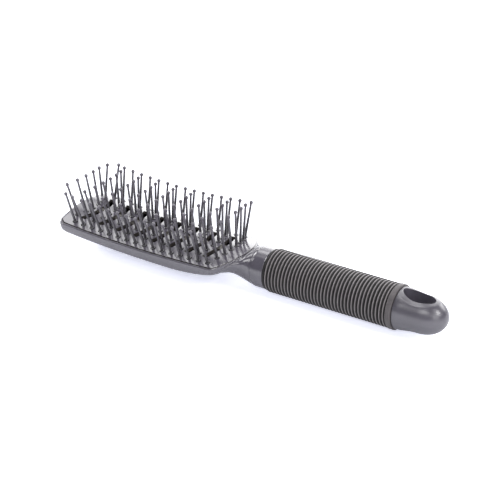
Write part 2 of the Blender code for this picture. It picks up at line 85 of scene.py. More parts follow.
# Its back: the belly and the keel on the middle line, and the foot of the side wall.
BELLY_X = -0.05005
BELLY_HALF_LENGTH = 0.0120
KEEL_TOE_RADIUS = 0.490
KEEL_NECK_RADIUS = 0.054
FOOT_X = -0.04346
FOOT_HEIGHT = 0.0077
FOOT_TOE_RADIUS = 0.900
FOOT_NECK_RADIUS = 0.116
WALL_TUCK = 0.0017

# Its inside: the ledge that the pin strips and the plate lie on, and the webs. Drops are from the face.
SHELL_THICKNESS = 0.0019
LEDGE_WIDTH = 0.0015
SEAT_DROP = 0.0023
WEB_DROP = 0.0040
WEB_THICKNESS = 0.0018
WEB_SUNK = 0.0010

# The bowed columns of pins, and the vents between them.
LAST_COLUMN = 8
LAST_COLUMN_X = -0.01316
COLUMN_PITCH = 0.01236
BOW_AT_TOE = 18.7
BOW_EASING = 5.5
STRIP_REACH = 0.0156
VENT_WIDTH = 0.0038
VENT_CORNER = 0.0009
VENT_SHIFT = -0.0010
BRIDGE_HALF_WIDTH = 0.0030
FLOOR_VENT_END = 0.0120

# The handle, and the two colours.
AXIS_HEIGHT = 0.01295
GRIP_START_X = 0.01325
GRIP_END_X = 0.09535
TUBE_START_X = 0.0112
TUBE_RADIUS = 0.0104
BORE_RADIUS = 0.0084
BORE_CLOSED = 0.0040
GRAPHITE = (0.098, 0.089, 0.116)
# The colour of painted shade inside the shell and on the face plate's sunk edges.
PAINTED_SHADE = (0.080, 0.071, 0.067)


class Socket:
    """A socket of a node tree: operators on it add Math nodes, and node() adds any other node."""

    def __init__(self, tree, socket=None):
        self.tree = tree
        self.socket = socket

    def node(self, kind, settings, values, out=0):
        made = self.tree.nodes.new(kind)
        for name, setting in settings.items():
            if name == "stops":
                elements = made.color_ramp.elements
                while len(elements) < len(setting):
                    elements.new(1.0)
                for element, (place, colour) in zip(elements, setting):
                    element.position = place
                    element.color = (*colour, 1.0)
            else:
                setattr(made, name, setting)
        for name, value in values.items():
            if isinstance(value, Socket):
                self.tree.links.new(value.socket, made.inputs[name])
            else:
                made.inputs[name].default_value = value
        return Socket(self.tree, made.outputs[out])

    def maths(self, operation, *values):
        return self.node("ShaderNodeMath", {"operation": operation}, dict(enumerate(values)))

    def __add__(self, other):
        return self.maths("ADD", self, other)

    def __radd__(self, other):
        return self.maths("ADD", other, self)

    def __sub__(self, other):
        return self.maths("SUBTRACT", self, other)

    def __rsub__(self, other):
        return self.maths("SUBTRACT", other, self)

    def __mul__(self, other):
        return self.maths("MULTIPLY", self, other)

    def __rmul__(self, other):
        return self.maths("MULTIPLY", other, self)

    def __truediv__(self, other):
        return self.maths("DIVIDE", self, other)

    def __pow__(self, other):
        return self.maths("POWER", self, other)

    def __gt__(self, other):
        return self.maths("GREATER_THAN", self, other)

    def __lt__(self, other):
        return self.maths("LESS_THAN", self, other)

    def clamped(self, low=0.0, high=1.0):
        return self.node("ShaderNodeClamp", {}, {"Value": self, "Min": low, "Max": high})


def finish(name, roughness, ior=1.5):
    """A new material: its tree's start, its shader, and the object coordinates as a socket."""
    material = bpy.data.materials.new(name)
    material.use_nodes = True
    shader = material.node_tree.nodes["Principled BSDF"]
    shader.inputs["Roughness"].default_value = roughness
    shader.inputs["IOR"].default_value = ior
    start = Socket(material.node_tree)
    place = start.node("ShaderNodeTexCoord", {}, {}, out="Object")
    return material, start, shader, place


def feed(shader, name, value):
    value.tree.links.new(value.socket, shader.inputs[name])


def noise(place, scale, detail, roughness=0.5):
    """Cloudy values from 0 to 1 over a piece."""
    return place.node("ShaderNodeTexNoise", {},
                      {"Vector": place, "Scale": scale, "Detail": detail, "Roughness": roughness})


def coordinate(place, axis):
    return place.node("ShaderNodeSeparateXYZ", {}, {0: place}, out=axis)


def ramp(share, *stops):
    """A colour for each share from 0 to 1, between stops of a place and a colour."""
    return share.node("ShaderNodeValToRGB", {"stops": stops}, {"Fac": share}, out="Color")


def toned(colour, factor):
    return tuple(c * factor for c in colour)


def moulded(name, colour, gloss, grain=0.02):
    """Moulded plastic: a slightly clouded colour, fine grain, gloss that handling dulls, and painted shade on
    faces marked for it.
    """
    material, start, shader, place = finish(name, gloss, 2.0)
    clouds = noise(place, 55.0, 3.0, 0.55)
    specks = noise(place, 900.0, 2.0, 0.6)
    handled = noise(place, 140.0, 4.0, 0.65)
    tone = ramp(clouds * 0.75 + specks * 0.25, (0.3, toned(colour, 0.88)), (0.7, toned(colour, 1.12)))
    # Painted shade: the marked faces take the shade colour instead of the plastic's tone.
    shade_mark = start.node("ShaderNodeAttribute", {"attribute_name": "inner_side"}, {}, out="Fac")
    # The Mix node's sockets 0, 6 and 7 are its factor and its two colours, and its output 2 is a colour.
    mixed = start.node("ShaderNodeMix", {"data_type": "RGBA"}, {0: shade_mark, 6: tone, 7: (*PAINTED_SHADE, 1.0)}, out=2)
    feed(shader, "Base Color", mixed)
    feed(shader, "Roughness", (gloss - 0.04 + 0.10 * (handled ** 2.0)).clamped(0.05, 1.0))
    bump = start.node("ShaderNodeBump", {}, {"Strength": grain, "Distance": 0.0004, "Height": specks})
    feed(shader, "Normal", bump)
    return material


def face_height(x, y):
    """Height of the head's face: it sags along the head and is crowned across it."""
    return FACE_HEIGHT + (x - SAG_X) ** 2 / (2 * SAG_RADIUS) - y ** 2 / (2 * CROWN_RADIUS)


def keel_height(x):
    """Height of the middle line of the head's back, with a flat belly."""
    away = max(abs(x - BELLY_X) - BELLY_HALF_LENGTH, 0.0)
    return away ** 2 / (2 * (KEEL_TOE_RADIUS if x < BELLY_X else KEEL_NECK_RADIUS))


def foot_height(x):
    """Height of the side wall's foot."""
    return FOOT_HEIGHT + (x - FOOT_X) ** 2 / (2 * (FOOT_TOE_RADIUS if x < FOOT_X else FOOT_NECK_RADIUS))


def outline(inset):
    """The head's outline from above, moved inwards: from the toe's middle by -Y to the neck, and back by +Y."""
    toe_steps, side_steps, end_steps = 14, 60, 20
    toe = TOE_X + inset
    half = HEAD_HALF_WIDTH - inset
    radius = max(END_RADIUS - inset, half)
    end = HEAD_END_X - inset

    def toe_point(y):
        return Vector((toe + TOE_BOW * (y / half) ** 2, y))

    def end_point(y):
        return Vector((end - y ** 2 / (2 * radius), y))

    def rounded(start, corner, stop):
        steps = [k / 10 for k in range(11)]
        return [start * (1 - t) ** 2 + corner * (2 * t * (1 - t)) + stop * t ** 2 for t in steps]

    straight = half - TOE_CORNER
    points = [toe_point(-straight * (k + 0.5) / toe_steps) for k in range(toe_steps)]
    toe_corner = toe_point(-half)
    points += rounded(toe_point(-straight), toe_corner, toe_corner + Vector((TOE_CORNER, 0.0)))
    neck_corner = end_point(-half)
    side_start = toe_corner.x + TOE_CORNER
    side_stop = neck_corner.x - END_CORNER
    for k in range(1, side_steps):
        points.append(Vector((side_start + (side_stop - side_start) * k / side_steps, -half)))
    arc_start = half - END_CORNER
    points += rounded(Vector((side_stop, -half)), neck_corner, end_point(-arc_start))
    points += [end_point(-arc_start * (1 - (k + 0.5) / end_steps)) for k in range(end_steps)]
    return points + [Vector((p.x, -p.y)) for p in reversed(points)]


def smooth_run(rows, steps):
    """Rows of numbers, with more rows put between them along a smooth curve through them all."""
    out = []
    for i in range(len(rows) - 1):
        a = rows[max(i - 1, 0)]
        b, c = rows[i], rows[i + 1]
        d = rows[min(i + 2, len(rows) - 1)]
        for k in range(steps):
            t = k / steps
            out.append(tuple(
                0.5 * (2 * q + (r - p) * t + (2 * p - 5 * q + 4 * r - s) * t ** 2
                       + (3 * q - p - 3 * r + s) * t ** 3)
                for p, q, r, s in zip(a, b, c, d)))
    out.append(tuple(rows[-1]))
    return out


def mesh_object(name, bm):
    bmesh.ops.recalc_face_normals(bm, faces=bm.faces)
    mesh = bpy.data.meshes.new(name)
    bm.to_mesh(mesh)
    bm.free()
    made = bpy.data.objects.new(name, mesh)
    bpy.context.scene.collection.objects.link(made)
    return made


def skin(bm, rings):
    """Faces from each ring to the next, all the way round."""
    for ring, following in zip(rings, rings[1:]):
        for i in range(len(ring)):
            j = (i + 1) % len(ring)
            bm.faces.new((ring[i], ring[j], following[j], following[i]))


def closed_skin(bm, rings):
    """The same, with one face at each end."""
    skin(bm, rings)
    bm.faces.new(rings[0])
    bm.faces.new(rings[-1])


def skinned(name, loops, across=False):
    """An object from loops skinned one to the next, whose ends are closed by one face or by strips across."""
    bm = bmesh.new()
    rings = [[bm.verts.new(p) for p in loop] for loop in loops]
    if across:
        skin(bm, rings)
        last = len(rings[0]) - 1
        for ring in (rings[0], rings[-1]):
            for i in range(last // 2):
                bm.faces.new((ring[i], ring[i + 1], ring[last - 1 - i], ring[last - i]))
    else:
        closed_skin(bm, rings)
    return mesh_object(name, bm)


def settled(piece):
    """Works the piece's modifiers into its mesh."""
    evaluated = piece.evaluated_get(bpy.context.evaluated_depsgraph_get())
    mesh = bpy.data.meshes.new_from_object(evaluated)
    piece.modifiers.clear()
    piece.data = mesh


def joined(piece, tool, how):
    """Works a Boolean with the tool into the piece, and uses the tool up."""
    step = piece.modifiers.new(how, "BOOLEAN")
    step.operation = how
    step.solver = "EXACT"
    step.object = tool
    settled(piece)
    bpy.data.objects.remove(tool, do_unlink=True)


def surfaced(piece, material, sharp):
    """Gives the piece its material, and smooth shading up to an angle in degrees."""
    piece.data.materials.clear()
    piece.data.materials.append(material)
    piece.data.shade_smooth()
    piece.data.set_sharp_from_angle(angle=math.radians(sharp))


def face_loop(inset, rise):
    return [(p.x, p.y, face_height(p.x, p.y) + rise) for p in outline(inset)]


def wall_loop(inset, share):
    """A loop round the side wall, by its share of the way down from the rim to the foot."""
    loop = []
    for p in outline(inset):
        rim = face_height(p.x, p.y) - RIM_DROP
        loop.append((p.x, p.y, rim + (foot_height(p.x) - rim) * share))
    return loop


def under_loop(inset, share, rise=0.0):
    """A loop on the head's back, by its share of the way up from the keel to the foot."""
    loop = []
    for p in outline(inset):
        keel = keel_height(p.x)
        loop.append((p.x, p.y, keel + (foot_height(p.x) - keel) * share + rise))
    return loop


# How far in from the outline each loop of the wall and of the back lies, and its share of the way.
wall_line = smooth_run([
    (RIM_WALL, 0.0),
    (0.0006, 0.006),
    (0.0003, 0.030),
    (0.00012, 0.09),
    (0.00006, 0.30),
    (0.0005, 0.75),
    (WALL_TUCK, 1.0),
], 4)
under_line = smooth_run([(WALL_TUCK, 1.0), (0.0054, 0.73), (0.0102, 0.39), (0.0148, 0.13), (0.0185, 0.0)], 4)
head_skin = [wall_loop(inset, share) for inset, share in wall_line]
head_skin += [under_loop(inset, share) for inset, share in under_line[1:]]
body = skinned("body_moulding", head_skin, across=True)


def oval_ring(x, half, top, widest, bottom, roundness, flatness):
    """A ring across the neck or handle, with its own roundness below its widest line and flatness above it."""
    ring = []
    for k in range(96):
        angle = 2 * math.pi * k / 96
        out, up = math.cos(angle), math.sin(angle)
        power = 2 / (flatness if up > 0 else roundness)
        out = math.copysign(abs(out) ** power, out)
        up = math.copysign(abs(up) ** power, up)
        ring.append((x, half * out, widest + (top - widest if up > 0 else widest - bottom) * up))
    return ring


def round_ring(x, radius):
    """A round ring about the handle's axis."""
    return oval_ring(x, radius, AXIS_HEIGHT + radius, AXIS_HEIGHT, AXIS_HEIGHT - radius, 2.0, 2.0)


# Each row is an oval ring: its place along, half width, top, widest line, bottom, roundness and flatness.
neck_run = smooth_run([
    (-0.02375, 0.0150, 0.0135, 0.0100, 0.0046, 1.30, 2.0),
    (-0.01825, 0.0203, 0.0150, 0.0122, 0.0050, 1.15, 2.1),
    (-0.01225, 0.0224, 0.0156, 0.0134, 0.0050, 1.10, 2.2),
    (-0.00975, 0.0200, 0.0164, 0.0143, 0.0047, 1.12, 2.5),
    (-0.00725, 0.0175, 0.0173, 0.0153, 0.0040, 1.20, 2.8),
    (-0.00475, 0.0146, 0.0188, 0.0160, 0.0033, 1.45, 3.0),
    (-0.00225, 0.0130, 0.0201, 0.0160, 0.0025, 1.65, 3.0),
    (0.00045, 0.0121, 0.0225, 0.0149, 0.00195, 1.80, 2.7),
    (0.00225, 0.01155, 0.0237, 0.0137, 0.00160, 1.92, 2.3),
    (0.00345, 0.01132, 0.02420, 0.0130, 0.00160, 1.98, 2.05),
    (0.00425, 0.01142, 0.02437, 0.01295, 0.00153, 2.00, 2.0),
    (0.00500, 0.01170, 0.02465, 0.01295, 0.00125, 2.00, 2.0),
    (0.00560, 0.01186, 0.02481, 0.01295, 0.00109, 2.00, 2.0),
], 5)
neck_skin = [oval_ring(*row) for row in neck_run]
neck_skin += [round_ring(x, radius) for x, radius in ((0.00600, 0.0119), (0.01275, 0.0119), (0.01295, 0.0117))]
joined(body, skinned("neck", neck_skin), "UNION")

pocket_line = smooth_run([(0.0036, 0.86), (0.0102, 0.39), (0.0148, 0.13), (0.0185, 0.0)], 3)
pocket_skin = [
    face_loop(RIM_WALL, 0.0040),
    face_loop(RIM_WALL, -SEAT_DROP),
    face_loop(RIM_WALL + LEDGE_WIDTH, -SEAT_DROP),
]
pocket_skin += [under_loop(inset, share, SHELL_THICKNESS) for inset, share in pocket_line]
joined(body, skinned("head_pocket", pocket_skin, across=True), "DIFFERENCE")


def column_x(column, y):
    """Place along the head of a bowed column of pins; 0 is at the toe, and halves lie between the columns."""
    bow = BOW_AT_TOE - BOW_EASING * column / LAST_COLUMN
    return LAST_COLUMN_X - (LAST_COLUMN - column) * COLUMN_PITCH - bow * y ** 2


def under_share(inset):
    """How high the underside is between keel and foot, at a distance in from the outline."""
    for (near, high), (far, low) in zip(under_line, under_line[1:]):
        if near <= inset <= far:
            return high + (low - high) * (inset - near) / (far - near)
    return 1.0 if inset < WALL_TUCK else 0.0


def inset_at(x, y):
    """How far in from the head's outline a place lies."""
    return min(HEAD_HALF_WIDTH - abs(y), x - TOE_X, HEAD_END_X - y ** 2 / (2 * END_RADIUS) - x)


def under_height(x, y):
    """Height of the head's back."""
    keel = keel_height(x)
    return keel + (foot_height(x) - keel) * under_share(inset_at(x, y))


def web_solid():
    """Bowed webs under the pin strips, from the shell's floor up to just under the strips."""
    bm = bmesh.new()
    half = WEB_THICKNESS / 2
    for column in range(LAST_COLUMN + 1):
        reach = STRIP_REACH if column == 0 else HEAD_HALF_WIDTH - WALL_TUCK - WEB_SUNK
        rings = []
        for k in range(25):
            y = reach * (k / 12 - 1)
            x = column_x(column, y)
            foot = under_height(x, y) + WEB_SUNK
            top = face_height(x, y) - WEB_DROP
            rings.append([bm.verts.new((x + dx, y, z))
                          for dx, z in ((-half, foot), (half, foot), (half, top), (-half, top))])
        closed_skin(bm, rings)
    return mesh_object("webs", bm)


joined(body, web_solid(), "UNION")

tube = skinned("tube", [round_ring(x, TUBE_RADIUS) for x in (TUBE_START_X, GRIP_END_X)])
joined(body, tube, "UNION")
bore = skinned("bore", [round_ring(x + BORE_CLOSED, BORE_RADIUS) for x in (GRIP_START_X, GRIP_END_X)])
joined(body, bore, "DIFFERENCE")


def tree_inputs(tree, sockets):
    """Gives the tree its named inputs, each with its start value, and hands them out as sockets."""
    for name, kind, value in sockets:
        made = tree.interface.new_socket(name, in_out="INPUT", socket_type=kind)
        if value is not None:
            made.default_value = value
    tree.interface.new_socket("Geometry", in_out="OUTPUT", socket_type="NodeSocketGeometry")
    given = tree.nodes.new("NodeGroupInput")
    return [Socket(tree, given.outputs[name]) for name, kind, value in sockets]


def tree_end(tree, geometry, material):
    """Realizes the copies, gives them their material and hands the geometry out."""
    real = geometry.node("GeometryNodeRealizeInstances", {}, {"Geometry": geometry})
    coated = real.node("GeometryNodeSetMaterial", {}, {"Geometry": real, "Material": material})
    out = tree.nodes.new("NodeGroupOutput")
    tree.links.new(coated.socket, out.inputs[0])


def grown(piece, tree, values):
    """Works a node tree into the piece, which becomes a plain mesh."""
    step = piece.modifiers.new("grown", "NODES")
    step.node_group = tree
    for item in tree.interface.items_tree:
        if item.item_type == "SOCKET" and item.in_out == "INPUT" and item.name in values:
            step[item.identifier] = values[item.name]
    settled(piece)


def point_cloud(name, points):
    """Loose points, each with the direction that its copy stands along and a length."""
    mesh = bpy.data.meshes.new(name)
    mesh.from_pydata([p[0] for p in points], [], [])
    axis = mesh.attributes.new("axis", "FLOAT_VECTOR", "POINT")
    axis.data.foreach_set("vector", [c for p in points for c in p[1]])
    reach = mesh.attributes.new("reach", "FLOAT", "POINT")
    reach.data.foreach_set("value", [p[2] for p in points])
    made = bpy.data.objects.new(name, mesh)
    bpy.context.scene.collection.objects.link(made)
    return made


def shape_of(thing):
    """The shape of the object that a tree is given."""
    return thing.node("GeometryNodeObjectInfo", {"transform_space": "ORIGINAL"}, {"Object": thing}, out="Geometry")


def vents_tree():
    """A tree that lays a rounded bar across the head for each vent, and bows it as the columns bow."""
    tree = bpy.data.node_groups.new("bowed_vents", "GeometryNodeTree")
    points, bar, bow_toe, bow_neck, toe_column, neck_column, material = tree_inputs(tree, [
        ("Geometry", "NodeSocketGeometry", None),
        ("Shape", "NodeSocketObject", None),
        ("Bow at toe", "NodeSocketFloat", BOW_AT_TOE),
        ("Bow at neck", "NodeSocketFloat", BOW_AT_TOE - BOW_EASING),
        ("Toe column", "NodeSocketFloat", LAST_COLUMN_X - LAST_COLUMN * COLUMN_PITCH),
        ("Neck column", "NodeSocketFloat", LAST_COLUMN_X),
        ("Material", "NodeSocketMaterial", None)])
    laid = points.node("GeometryNodeInstanceOnPoints", {}, {"Points": points, "Instance": shape_of(bar)})
    bars = points.node("GeometryNodeRealizeInstances", {}, {"Geometry": laid})
    place = points.node("GeometryNodeInputPosition", {}, {})
    x = coordinate(place, "X")
    y = coordinate(place, "Y")
    along = (x - toe_column) / (neck_column - toe_column)
    bow = (bow_toe + (bow_neck - bow_toe) * along) * y * y
    shift = points.node("ShaderNodeCombineXYZ", {}, {"X": 0.0 - bow, "Y": 0.0, "Z": 0.0})
    bent = points.node("GeometryNodeSetPosition", {}, {"Geometry": bars, "Offset": shift})
    tree_end(tree, bent, material)
    return tree


def cut_across(bm, place, direction):
    """Divides the faces along a plane, so that they can bend there."""
    bmesh.ops.bisect_plane(bm, geom=bm.verts[:] + bm.edges[:] + bm.faces[:], dist=1e-7,
                           plane_co=place, plane_no=direction)


def rounded_bar(name, width, y_from, y_to, low, high, corner):
    """An upright block with rounded corners seen from above, cut across often enough to bow."""
    bm = bmesh.new()
    middle = (y_from + y_to) / 2
    reach = (y_to - y_from) / 2
    loop = []
    for sx, sy, first in ((1, 1, 0), (-1, 1, 1), (-1, -1, 2), (1, -1, 3)):
        for k in range(5):
            angle = math.pi / 2 * (first + k / 4)
            loop.append((sx * (width / 2 - corner) + corner * math.cos(angle),
                         middle + sy * (reach - corner) + corner * math.sin(angle)))
    closed_skin(bm, [[bm.verts.new((x, y, z)) for x, y in loop] for z in (low, high)])
    for k in range(1, 8):
        cut_across(bm, (0, y_from + (y_to - y_from) * k / 8, 0), (0, 1, 0))
    return mesh_object(name, bm)


vents = vents_tree()
vent_places = [LAST_COLUMN_X - (LAST_COLUMN - 0.5 - k) * COLUMN_PITCH + VENT_SHIFT
               for k in range(LAST_COLUMN)]


def vent_cutter(name, y_from, y_to, low, high, corner=VENT_CORNER):
    """All the vents, as bowed blocks between two places across the head and two heights from the face."""
    bar = rounded_bar(name + "_bar", VENT_WIDTH, y_from, y_to, low, high, corner)
    middle = (y_from + y_to) / 2
    spots = point_cloud(name, [((x, 0.0, face_height(x, middle)), (0, 0, 1), 1.0) for x in vent_places])
    grown(spots, vents, {"Shape": bar})
    bpy.data.objects.remove(bar, do_unlink=True)
    return spots


for side in (-1, 1):
    ends = sorted((side * BRIDGE_HALF_WIDTH, side * FLOOR_VENT_END))
    joined(body, vent_cutter("floor_vents", *ends, -0.0220, -0.0080), "DIFFERENCE")


def mark_painted_shade(piece, is_shaded):
    """Marks the faces that get painted shade in the piece's material, as the given test picks them."""
    marks = piece.data.attributes.new("inner_side", "FLOAT", "FACE")
    marks.data.foreach_set("value", [float(is_shaded(*face.center)) for face in piece.data.polygons])


def shaded_inside_shell(x, y, z):
    return inset_at(x, y) > RIM_WALL + 0.0001 and under_height(x, y) + 0.0012 < z < face_height(x, y) - 0.0006


# Painted shade on the inside of the shell, its walls, floor and webs, which shows dark through the vents.
mark_painted_shade(body, shaded_inside_shell)
surfaced(body, moulded("graphite_gloss", GRAPHITE, 0.22, grain=0.03), 38.0)
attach(body, "root")
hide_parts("body")


# The face plate.
# A thin gloss plate that drops into the shell's rim, crowned across and sagging along, with its edge rolled down.
# Eight bowed vents cross it, each bridged at the middle, and each pin comes up through a hole of its own.

PLATE_THICKNESS = 0.0020
RIM_GAP = 0.00035
NECK_GAP = 0.00008
NECK_GAP_REACH = 0.0130
ROLLED_EDGE = 0.00035
CUTS_ALONG = 0.00127
CUTS_ACROSS = 0.00125
PLATE_VENT_END = 0.0152
TROUGH_HALF_WIDTH = 0.0036
TROUGH_DEPTH = 0.0013

# The pins' places and lengths, which the holes need first.
PIN_HOLE_RADIUS = 0.00160
ROW_PITCH = 0.00544
SIDE_ROW_Y = 0.0195
PIN_LENGTH = 0.0193
END_PINS_LONGER = 0.0016

# Their leans in degrees: at the toe, how much less at the neck and at the far side, the fan to both sides, and
# how much less single pins lean, by column and row, because use has bent them.
TOE_LEAN = -10.4
LEAN_EASING = 7.5
FAR_LEAN = 3.2
FAN_PER_METRE = 788.0
BENT_PINS = {(0, 2.5): 7.5, (0.5, -3.6): 5.5, (0.5, 3.6): 6.0, (8.0, 3.6): 3.7}

bm = bmesh.new()
plate_outline = []
for loose, tight in zip(outline(RIM_WALL + RIM_GAP), outline(RIM_WALL + NECK_GAP)):
    share = min(max((loose.x - HEAD_END_X + NECK_GAP_REACH) / 0.0060, 0.0), 1.0)
    plate_outline.append(loose.lerp(tight, share))
bm.faces.new([bm.verts.new((p.x, p.y, 0.0)) for p in plate_outline])
for step in range(1, 96):
    cut_across(bm, (TOE_X + step * CUTS_ALONG, 0, 0), (1, 0, 0))
for step in range(-18, 19):
    cut_across(bm, (0, step * CUTS_ACROSS, 0), (0, 1, 0))
for vert in bm.verts:
    vert.co.z = face_height(vert.co.x, vert.co.y)
plate = mesh_object("face_plate_gloss", bm)
if plate.data.polygons[0].normal.z < 0:
    plate.data.flip_normals()
wall = plate.modifiers.new("thickness", "SOLIDIFY")
wall.thickness = PLATE_THICKNESS
wall.offset = -1.0
ease = plate.modifiers.new("rolled_edge", "BEVEL")
ease.width = ROLLED_EDGE
ease.segments = 3
ease.limit_method = "ANGLE"
ease.angle_limit = math.radians(50.0)
settled(plate)


def copies_tree():
    """A tree that stands a copy of one shape on each point, along the point's axis and as long as its reach."""
    tree = bpy.data.node_groups.new("copies_on_points", "GeometryNodeTree")
    points, thing, sway, seed, material = tree_inputs(tree, [
        ("Geometry", "NodeSocketGeometry", None),
        ("Shape", "NodeSocketObject", None),
        ("Sway", "NodeSocketFloat", 0.0),
        ("Seed", "NodeSocketInt", 3),
        ("Material", "NodeSocketMaterial", None)])
    shape = shape_of(thing)
    axis = points.node("GeometryNodeInputNamedAttribute", {"data_type": "FLOAT_VECTOR"}, {"Name": "axis"})
    reach = points.node("GeometryNodeInputNamedAttribute", {"data_type": "FLOAT"}, {"Name": "reach"})
    drift = points.node("FunctionNodeRandomValue", {"data_type": "FLOAT_VECTOR"},
                        {"Min": (-1.0, -1.0, -1.0), "Max": (1.0, 1.0, 1.0), "Seed": seed})
    drift = drift.node("ShaderNodeVectorMath", {"operation": "SCALE"}, {0: drift, "Scale": sway})
    axis = axis.node("ShaderNodeVectorMath", {"operation": "ADD"}, {0: axis, 1: drift})
    turn = axis.node("FunctionNodeAlignRotationToVector", {"axis": "Z"}, {"Vector": axis})
    size = reach.node("ShaderNodeCombineXYZ", {}, {"X": 1.0, "Y": 1.0, "Z": reach})
    stood = points.node("GeometryNodeInstanceOnPoints", {},
                        {"Points": points, "Instance": shape, "Rotation": turn, "Scale": size})
    tree_end(tree, stood, material)
    return tree


def pin_point(column, y):
    """Where a pin stands on the face, the way it leans, and how long it is against the standard pin."""
    share = column / LAST_COLUMN
    far = FAR_LEAN * (max(y, 0.0) / SIDE_ROW_Y) ** 2 * (1.0 - 0.65 * share)
    bent = BENT_PINS.get((column, round(y / ROW_PITCH, 1)), 0.0)
    lean = math.radians(TOE_LEAN + LEAN_EASING * share + far + bent)
    fan = math.radians(FAN_PER_METRE * y)
    x = column_x(column, y)
    axis = Vector((math.tan(lean), math.tan(fan), 1.0)).normalized()
    length = PIN_LENGTH + END_PINS_LONGER * (2 * share - 1) ** 2
    return (x, y, face_height(x, y)), tuple(axis), length / PIN_LENGTH


cross_rows = [[(column, ROW_PITCH * (row - 2.5)) for row in range(6)] for column in range(LAST_COLUMN + 1)]
side_rows = [[(0.5 + 0.5 * k, side * SIDE_ROW_Y) for k in range(16)] for side in (-1, 1)]
every_pin = [pin for row in cross_rows + side_rows for pin in row]

copies = copies_tree()
bm = bmesh.new()
bmesh.ops.create_cone(bm, cap_ends=True, segments=20, radius1=PIN_HOLE_RADIUS, radius2=PIN_HOLE_RADIUS,
                      depth=0.0090)
drill = mesh_object("pin_drill", bm)
holes = point_cloud("pin_holes", [(*pin_point(*pin)[:2], 1.0) for pin in every_pin])
grown(holes, copies, {"Shape": drill})
bpy.data.objects.remove(drill, do_unlink=True)
joined(plate, holes, "DIFFERENCE")

for side in (-1, 1):
    ends = sorted((side * BRIDGE_HALF_WIDTH, side * PLATE_VENT_END))
    joined(plate, vent_cutter("plate_vents", *ends, -0.0060, 0.0040), "DIFFERENCE")
troughs = vent_cutter("bridge_troughs", -TROUGH_HALF_WIDTH, TROUGH_HALF_WIDTH, -TROUGH_DEPTH, 0.0040, 0.0002)
joined(plate, troughs, "DIFFERENCE")

# Painted shade on the plate's sides and rolled edge below the face, which draws the dark seam at the rim.
mark_painted_shade(plate, lambda x, y, z: z < face_height(x, y) - 0.00045)
surfaced(plate, moulded("graphite_face", GRAPHITE, 0.17), 38.0)
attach(plate, "root")
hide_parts("face_plate")


# The pin strips.
# Bars of dark nylon under the face plate: nine bowed ones across the head with six pins each, and a long one at
# each side with sixteen. Each pin is moulded on: a collar in the plate's hole, a tapered stem and a ball tip.

PIN_SIDES = 12
COLLAR_RADIUS = 0.00135
STEM_RADIUS = 0.00080
STEM_TAPER = 0.00018
STEM_START = 0.0009
BALL_RADIUS = 0.00112
BALL_RISE = 0.00006
BAR_THICKNESS = 0.0014
CROSS_BAR_WIDTH = 0.0042
SIDE_BAR_WIDTH = 0.0031
SIDE_BAR_END = 0.0020
NYLON = (0.086, 0.079, 0.097)

# The radius and the height above the face of each ring of a pin, from its foot in the bar to the top of its ball.
foot = -(PLATE_THICKNESS + 0.0011)
pin_line = [
    (COLLAR_RADIUS, foot),
    (COLLAR_RADIUS, 0.00005),
    (0.00128, 0.00028),
    (0.00105, 0.00040),
    (0.00085, 0.00052),
]
for share in (0.0, 0.3, 0.65, 1.0):
    pin_line.append((STEM_RADIUS - STEM_TAPER * share, STEM_START + (PIN_LENGTH - STEM_START) * share))
for angle in range(-50, 90, 20):
    turn = math.radians(angle)
    pin_line.append((BALL_RADIUS * math.cos(turn), PIN_LENGTH + BALL_RISE + BALL_RADIUS * math.sin(turn)))
bm = bmesh.new()
turns = [math.tau * k / PIN_SIDES for k in range(PIN_SIDES)]
closed_skin(bm, [[bm.verts.new((r * math.cos(turn), r * math.sin(turn), z)) for turn in turns]
                 for r, z in pin_line])
pin_shape = mesh_object("pin_shape", bm)

nylon, start, shader, place = finish("dark_nylon", 0.2, 1.68)
height = coordinate(place, "Z")
streaks = noise(place, 420.0, 3.0, 0.6)
# Painted light and shade: the pins are painted darker low down among the others and paler towards their tips,
# broken by streaks.
painted_light_by_height = ((height - 0.020) * 50.0 + 0.3 * streaks - 0.15).clamped()
feed(shader, "Base Color", ramp(painted_light_by_height, (0.0, toned(NYLON, 0.5)), (1.0, toned(NYLON, 1.8))))
feed(shader, "Roughness", 0.14 + 0.14 * streaks)


def strip_bar(name, edges):
    """The bar of a strip, from pairs of points at its two edges, following the underside of the plate."""
    bm = bmesh.new()
    rings = []
    for near, far in edges:
        corners = ((near, 0.0), (far, 0.0), (far, BAR_THICKNESS), (near, BAR_THICKNESS))
        rings.append([bm.verts.new((x, y, face_height(x, y) - SEAT_DROP - drop)) for (x, y), drop in corners])
    closed_skin(bm, rings)
    bmesh.ops.bevel(bm, geom=bm.edges[:], offset=0.0001, segments=1, affect="EDGES")
    return mesh_object(name, bm)


def pin_strip(name, edges, pins, node):
    """A strip with its pins, as one piece in the place of one node."""
    bar = strip_bar(name + "_bar", edges)
    strip = point_cloud(name, [pin_point(*pin) for pin in pins])
    seed = len(node) * 7 + ord(node[-1])
    grown(strip, copies, {"Shape": pin_shape, "Sway": 0.002, "Seed": seed, "Material": nylon})
    bm = bmesh.new()
    bm.from_mesh(strip.data)
    bm.from_mesh(bar.data)
    bm.to_mesh(strip.data)
    bm.free()
    bpy.data.objects.remove(bar, do_unlink=True)
    surfaced(strip, nylon, 45.0)
    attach(strip, "root")
    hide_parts(node)


for column in range(LAST_COLUMN + 1):
    edges = []
    for k in range(13):
        y = STRIP_REACH * (k / 6 - 1)
        middle = column_x(column, y)
        edges.append(((middle - CROSS_BAR_WIDTH / 2, y), (middle + CROSS_BAR_WIDTH / 2, y)))
    number = column + 1
    pin_strip("pins_across_%d" % number, edges, cross_rows[column], "cross_pin_strip_%d" % number)

